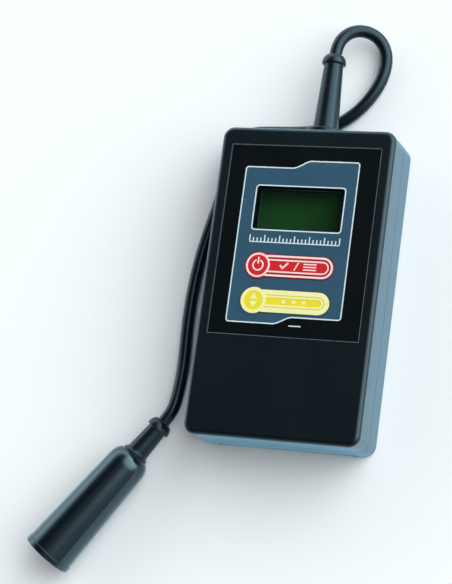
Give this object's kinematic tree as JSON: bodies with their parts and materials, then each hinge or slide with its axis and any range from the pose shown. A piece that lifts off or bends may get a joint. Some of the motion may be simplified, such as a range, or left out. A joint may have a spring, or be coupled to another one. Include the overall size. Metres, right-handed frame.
{
  "type": "coating thickness gauge",
  "caption": "Hand-held gauge with a flat case, film front, display and keys, a sliding battery door, and a round probe on a short lead that reads the thickness of a coating.",
  "frame": {"origin": "centre of the back face of the case, on which the gauge lies", "axes": "+X to the right of the display, +Y towards the end that the lead leaves, +Z out of the front of the case"},
  "size_m": [0.1327, 0.227, 0.0251],
  "materials": {
    "case_abs": "moulded, fine matt texture",
    "label_film": "printed film, satin",
    "window_clear": "polished",
    "key_red": "printed film, satin",
    "key_yellow": "printed film, satin",
    "plunger_white": "moulded",
    "switch_black": "moulded",
    "frame_metal": "black sheet metal",
    "lcd_green": "polarised display glass",
    "diffuser": "light guide",
    "board_green": "glass-epoxy board",
    "can_metal": "drawn can",
    "sleeve_blue": "shrink sleeve",
    "socket_cream": "moulded",
    "snap_black": "moulded with plated studs",
    "wire_red": "insulated wire",
    "screw_steel": "zinc-plated",
    "boot_rubber": "flexible moulded",
    "lead_jacket": "smooth extruded jacket",
    "probe_gloss": "polished black",
    "ferrite": "sintered",
    "bobbin_white": "moulded",
    "copper": "enamelled winding"
  },
  "bodies": {
    "case": {"front_shell": "case_abs", "back_shell": "case_abs", "front_label": "label_film", "display_window": "window_clear", "ok_switch": "switch_black", "function_switch": "switch_black", "display_header": "switch_black", "microcontroller": "switch_black", "regulator": "switch_black", "buzzer": "switch_black", "lcd_frame": "frame_metal", "lcd_glass": "lcd_green", "lcd_backlight": "diffuser", "lcd_board": "board_green", "main_board": "board_green", "crystal": "can_metal", "capacitor": "sleeve_blue", "probe_socket": "socket_cream", "battery_snap": "snap_black", "battery_leads": "wire_red", "probe_leads": "wire_red", "coil_leads": "wire_red", "case_screws": "screw_steel", "board_screws": "screw_steel", "cable_boot": "boot_rubber", "probe_boot": "boot_rubber", "probe_cable": "lead_jacket", "probe_body": "probe_gloss", "probe_cap": "probe_gloss", "probe_core": "ferrite", "probe_bobbin": "bobbin_white", "probe_coil": "copper"},
    "ok_key": {"ok_key": "key_red", "ok_plunger": "plunger_white"},
    "function_key": {"function_key": "key_yellow", "function_plunger": "plunger_white"},
    "battery_door": {"battery_door": "case_abs"}
  },
  "joints": [
    {"name": "ok_key_press", "type": "slide", "parent": "case", "child": "ok_key", "axis": [0, 0, -1], "range_m": [0, 0.0004], "stiffness_N_per_m": 2000},
    {"name": "function_key_press", "type": "slide", "parent": "case", "child": "function_key", "axis": [0, 0, -1], "range_m": [0, 0.0004], "stiffness_N_per_m": 2000},
    {"name": "battery_door_slide", "type": "slide", "parent": "case", "child": "battery_door", "axis": [0, -1, 0], "range_m": [0, 0.03]}
  ]
}
